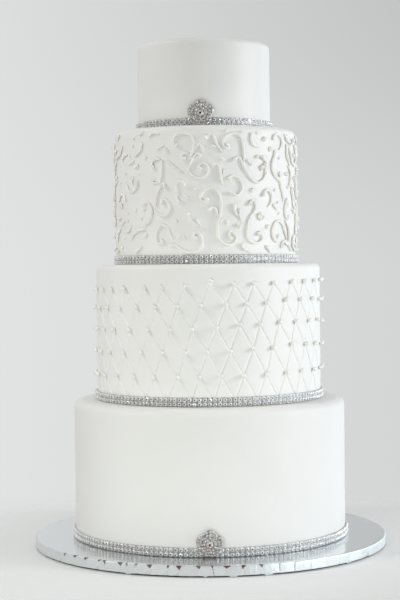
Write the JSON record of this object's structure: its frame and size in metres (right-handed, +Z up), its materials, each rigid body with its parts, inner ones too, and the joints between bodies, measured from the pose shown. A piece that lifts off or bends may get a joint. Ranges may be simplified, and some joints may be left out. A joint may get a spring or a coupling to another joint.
{
  "type": "tiered wedding cake",
  "caption": "Tiered white fondant wedding cake with a quilted tier, a piped scroll tier, rhinestone bands and flower brooches, on a round foil drum board.",
  "frame": {"origin": "centre of the drum board's underside", "axes": "+Z up the stack of tiers, -Y towards the front with the brooches, +X to the right seen from the front"},
  "size_m": [0.4064, 0.4064, 0.5759],
  "materials": {
    "foil": "satin silver cake foil, softly creased over the edge",
    "fondant": "smooth white rolled fondant with a faint satin sheen",
    "icing": "piped white royal icing, set dry and slightly satin",
    "pearl": "white sugar pearls with a soft lustre",
    "rhinestone": "bright silver cups round faceted stones",
    "brooch": "bright silver set with clear stones"
  },
  "bodies": {
    "root": {"board": "foil", "tier_bottom": "fondant", "tier_quilted": "fondant", "tier_scroll": "fondant", "tier_top": "fondant", "band_bottom": "rhinestone", "band_quilted": "rhinestone", "band_scroll": "rhinestone", "band_top": "rhinestone", "brooch_bottom": "brooch", "brooch_top": "brooch"}
  },
  "joints": []
}
